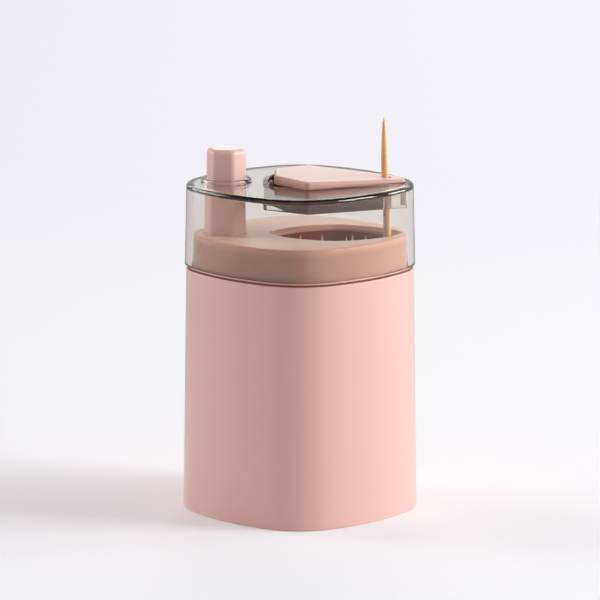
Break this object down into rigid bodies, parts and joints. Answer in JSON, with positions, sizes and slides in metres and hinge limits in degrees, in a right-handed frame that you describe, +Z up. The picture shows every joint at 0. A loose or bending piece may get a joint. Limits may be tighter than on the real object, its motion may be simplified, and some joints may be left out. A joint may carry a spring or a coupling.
{
  "type": "toothpick dispenser",
  "caption": "Upright rounded-square toothpick dispenser: pressing a hexagonal column lifts a pick through a slotted flap in a smoky clear lid.",
  "frame": {"origin": "middle of the flat underside, on the surface the dispenser stands on", "axes": "+Z up; +X from the press column to the pick outlet, both on corners of the rounded square; +Y away from the picture's viewer"},
  "size_m": [0.066, 0.066, 0.1107],
  "materials": {
    "pink_plastic": "satin moulded ABS, fine even grain",
    "deck_plastic": "satin moulded ABS, seen through the smoky lid",
    "smoky_clear": "polished smoky transparent SAN",
    "milky_plastic": "natural acetal, matt",
    "steel": "zinc-plated steel",
    "birch": "raw turned birch"
  },
  "bodies": {
    "body": {"outer_body": "pink_plastic", "base_plate": "pink_plastic", "base_screws": "steel", "deck": "deck_plastic", "hopper": "deck_plastic", "hopper_screws": "steel", "chassis": "milky_plastic", "chassis_screws": "steel", "guide_bush": "steel", "return_spring": "steel", "pivot_pin": "steel", "pivot_clips": "steel", "picks": "birch"},
    "press": {"press_button": "pink_plastic", "press_stem": "milky_plastic", "stem_pin": "steel", "spring_seat": "steel"},
    "rocker": {"rocker": "milky_plastic", "press_pin": "steel", "lift_pins": "steel"},
    "lifter": {"lifter": "milky_plastic"},
    "lid": {"lid": "smoky_clear", "flap_pin": "steel"},
    "flap": {"flap": "pink_plastic"},
    "raised_pick": {"raised_pick": "birch"}
  },
  "joints": [
    {"name": "button_press", "type": "slide", "parent": "body", "child": "press", "axis": [0, 0, -1], "range_m": [0, 0.0088], "stiffness_N_per_m": 150, "springref_m": -0.012, "deforming": ["return_spring"]},
    {"name": "rocker_swing", "type": "hinge", "parent": "body", "child": "rocker", "pos_m": [-0.013, 0, 0.02625], "axis": [0, -1, 0], "range_deg": [0, 52.22]},
    {"name": "lifter_rise", "type": "slide", "parent": "body", "child": "lifter", "axis": [0, 0, 1], "range_m": [0, 0.0345]},
    {"name": "lid_lift", "type": "slide", "parent": "body", "child": "lid", "axis": [0, 0, 1], "range_m": [0, 0.045]},
    {"name": "flap_hinge", "type": "hinge", "parent": "lid", "child": "flap", "pos_m": [-0.0079, 0, 0.0929], "axis": [0, -1, 0], "range_deg": [0, 105]},
    {"name": "pick_draw", "type": "slide", "parent": "body", "child": "raised_pick", "axis": [-0.0201, 0, 0.9998], "range_m": [0, 0.05]}
  ],
  "couplings": [
    {"joint": "rocker_swing", "follows": "button_press", "rad_per_m": 103.55},
    {"joint": "lifter_rise", "follows": "button_press", "ratio": 3.92}
  ]
}
